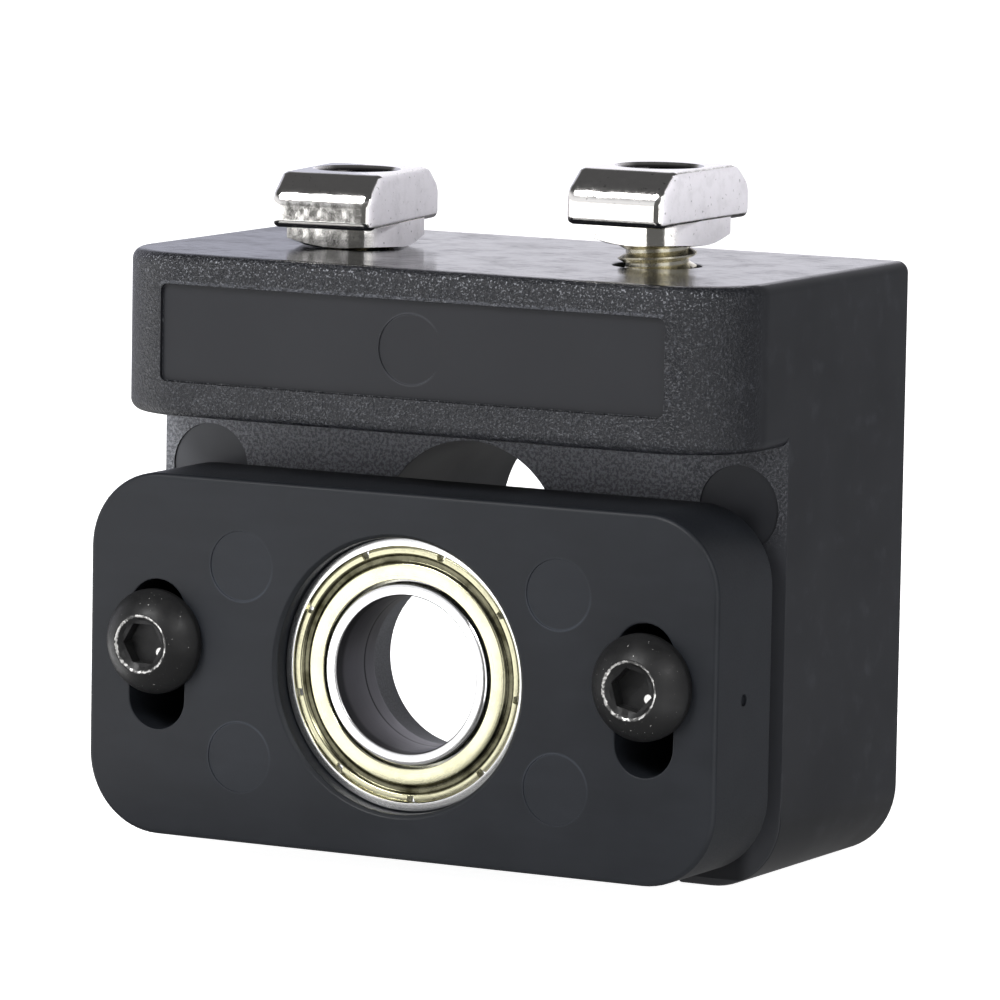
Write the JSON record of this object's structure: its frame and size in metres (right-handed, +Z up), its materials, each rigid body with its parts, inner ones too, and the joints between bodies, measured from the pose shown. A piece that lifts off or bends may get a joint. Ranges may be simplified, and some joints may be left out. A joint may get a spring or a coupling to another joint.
{
  "type": "lead screw support block",
  "caption": "Moulded block that bolts to an extrusion slot with T-nuts and carries a lead screw in a shielded bearing, on a plate that slides on clamped slots.",
  "frame": {"origin": "on the block's underside, midway across its width and its overall depth", "axes": "+X across the block, -Y out of the bearing plate's front, +Z up through the T-nuts"},
  "size_m": [0.036, 0.0226, 0.0358],
  "materials": {
    "block_plastic": "black moulding, fine spark texture on the front faces",
    "plate_plastic": "black moulding, smooth satin",
    "bearing_steel": "ground and polished",
    "cage_steel": "pressed sheet",
    "shield_zinc": "pressed sheet with a pale gold passivation",
    "black_oxide": "oiled black oxide",
    "nut_zinc": "bright zinc",
    "nickel": "nickel plate over sawn and tumbled steel"
  },
  "bodies": {
    "block": {"main_block": "block_plastic", "clamp_screw_left": "black_oxide", "clamp_screw_right": "black_oxide", "clamp_nut_left": "nut_zinc", "clamp_nut_right": "nut_zinc", "profile_screw_left": "nut_zinc", "profile_screw_right": "nut_zinc"},
    "plate": {"bearing_plate": "plate_plastic", "bearing_outer_ring": "bearing_steel", "bearing_front_shield": "shield_zinc", "bearing_rear_shield": "shield_zinc"},
    "inner_ring": {"bearing_inner_ring": "bearing_steel"},
    "ball_train": {"bearing_cage": "cage_steel", "bearing_balls": "bearing_steel"},
    "nut_left": {"t_nut_left": "nickel"},
    "nut_right": {"t_nut_right": "nickel"}
  },
  "joints": [
    {"name": "plate_slide", "type": "slide", "parent": "block", "child": "plate", "axis": [0, 0, 1], "range_m": [-0.0015, 0.0025]},
    {"name": "bearing_spin", "type": "hinge", "parent": "plate", "child": "inner_ring", "pos_m": [0, -0.00665, 0.0103], "axis": [0, 1, 0], "continuous": true},
    {"name": "ball_orbit", "type": "hinge", "parent": "plate", "child": "ball_train", "pos_m": [0, -0.00665, 0.0103], "axis": [0, 1, 0], "continuous": true},
    {"name": "t_nut_left_turn", "type": "hinge", "parent": "block", "child": "nut_left", "pos_m": [-0.00875, 0.0011, 0.0328], "axis": [0, 0, 1], "range_deg": [-90, 0]},
    {"name": "t_nut_right_turn", "type": "hinge", "parent": "block", "child": "nut_right", "pos_m": [0.00875, 0.0011, 0.0339], "axis": [0, 0, 1], "range_deg": [-90, 0]}
  ],
  "couplings": [
    {"joint": "ball_orbit", "follows": "bearing_spin", "ratio": 0.42782}
  ]
}
